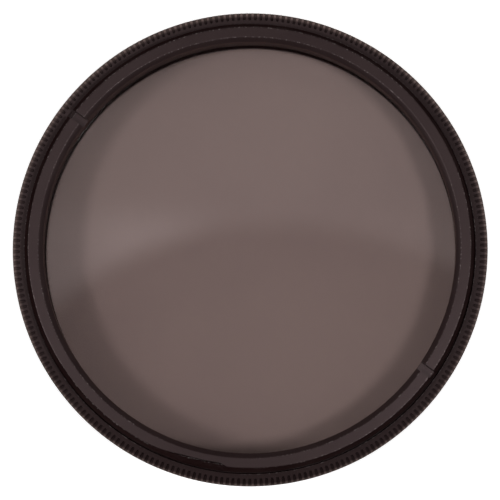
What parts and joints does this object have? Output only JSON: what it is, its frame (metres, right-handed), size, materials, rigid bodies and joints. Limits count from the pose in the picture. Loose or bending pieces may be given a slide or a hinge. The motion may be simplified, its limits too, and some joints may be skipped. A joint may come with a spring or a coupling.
{
  "type": "telescope polarizing filter",
  "caption": "Round screw-in polarizing filter for an eyepiece: a knurled black cell, a slotted male-threaded ring that clamps the glass, and a grey polarizing film between glass discs.",
  "frame": {"origin": "centre of the flat face round the female thread, on which the filter lies", "axes": "+Z along the optical axis, out of the male thread"},
  "size_m": [0.0504, 0.0504, 0.0088],
  "materials": {
    "anodized_cell": "black anodized, satin, turned and knurled",
    "anodized_ring": "black anodized, satin, turned",
    "glass": "polished, clear",
    "film": "smoke-grey polarizing film"
  },
  "bodies": {
    "root": {"knurled_cell": "anodized_cell", "slotted_ring": "anodized_ring", "upper_glass": "glass", "polarizing_film": "film", "lower_glass": "glass"}
  },
  "joints": []
}
